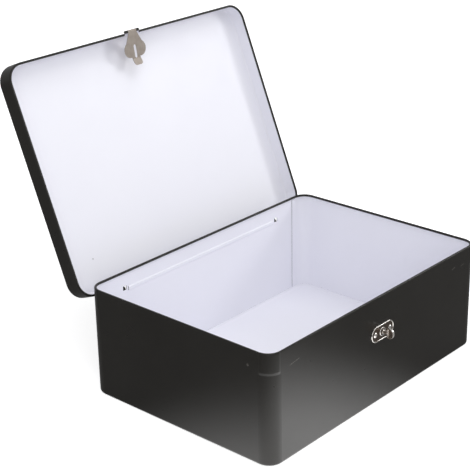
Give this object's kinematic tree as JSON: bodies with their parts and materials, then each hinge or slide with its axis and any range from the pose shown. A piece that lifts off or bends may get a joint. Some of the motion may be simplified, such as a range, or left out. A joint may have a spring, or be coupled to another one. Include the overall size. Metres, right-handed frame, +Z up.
{
  "type": "hinged tin box",
  "caption": "Flat rectangular tin trunk for papers, with rounded corners, a rolled rim, a hinged lid, and a hasp that closes over a turn button.",
  "frame": {"origin": "centre of the box's underside", "axes": "+X right along the front, +Y to the back, +Z up out of the box; the lid is open at rest"},
  "size_m": [0.3368, 0.3547, 0.3202],
  "materials": {
    "black_lacquer": "satin black lacquer on tinplate",
    "white_lacquer": "smooth white lacquer on tinplate",
    "nickel_plate": "bright nickel plate on steel",
    "steel_wire": "drawn steel"
  },
  "bodies": {
    "box": {"body_wall": "black_lacquer", "bottom_panel": "white_lacquer", "hinge_wire": "steel_wire", "clasp_plate": "nickel_plate", "clasp_rivet_left": "nickel_plate", "clasp_rivet_right": "nickel_plate", "wave_washer": "steel_wire", "retaining_washer": "nickel_plate"},
    "lid": {"lid_shell": "black_lacquer"},
    "hasp_carrier": {"hasp_pin": "nickel_plate"},
    "hasp": {"hasp_plate": "nickel_plate"},
    "thumb": {"thumb_turn": "nickel_plate"}
  },
  "joints": [
    {"name": "lid_hinge", "type": "hinge", "parent": "box", "child": "lid", "pos_m": [0, 0.1198, 0.0965], "axis": [1, 0, 0], "range_deg": [0, 112]},
    {"name": "hasp_lift", "type": "hinge", "parent": "lid", "child": "hasp_carrier", "pos_m": [0, 0.20956, 0.31865], "axis": [1, 0, 0], "range_deg": [-124.5, 0]},
    {"name": "hasp_swing", "type": "hinge", "parent": "hasp_carrier", "child": "hasp", "pos_m": [0, 0.20956, 0.31865], "axis": [1, 0, 0], "range_deg": [-60, 22]},
    {"name": "turn_button", "type": "hinge", "parent": "box", "child": "thumb", "pos_m": [0, -0.1155, 0.0755], "axis": [0, -1, 0], "range_deg": [0, 90]}
  ],
  "couplings": [
    {"joint": "hasp_lift", "follows": "lid_hinge", "ratio": -1.1071}
  ]
}
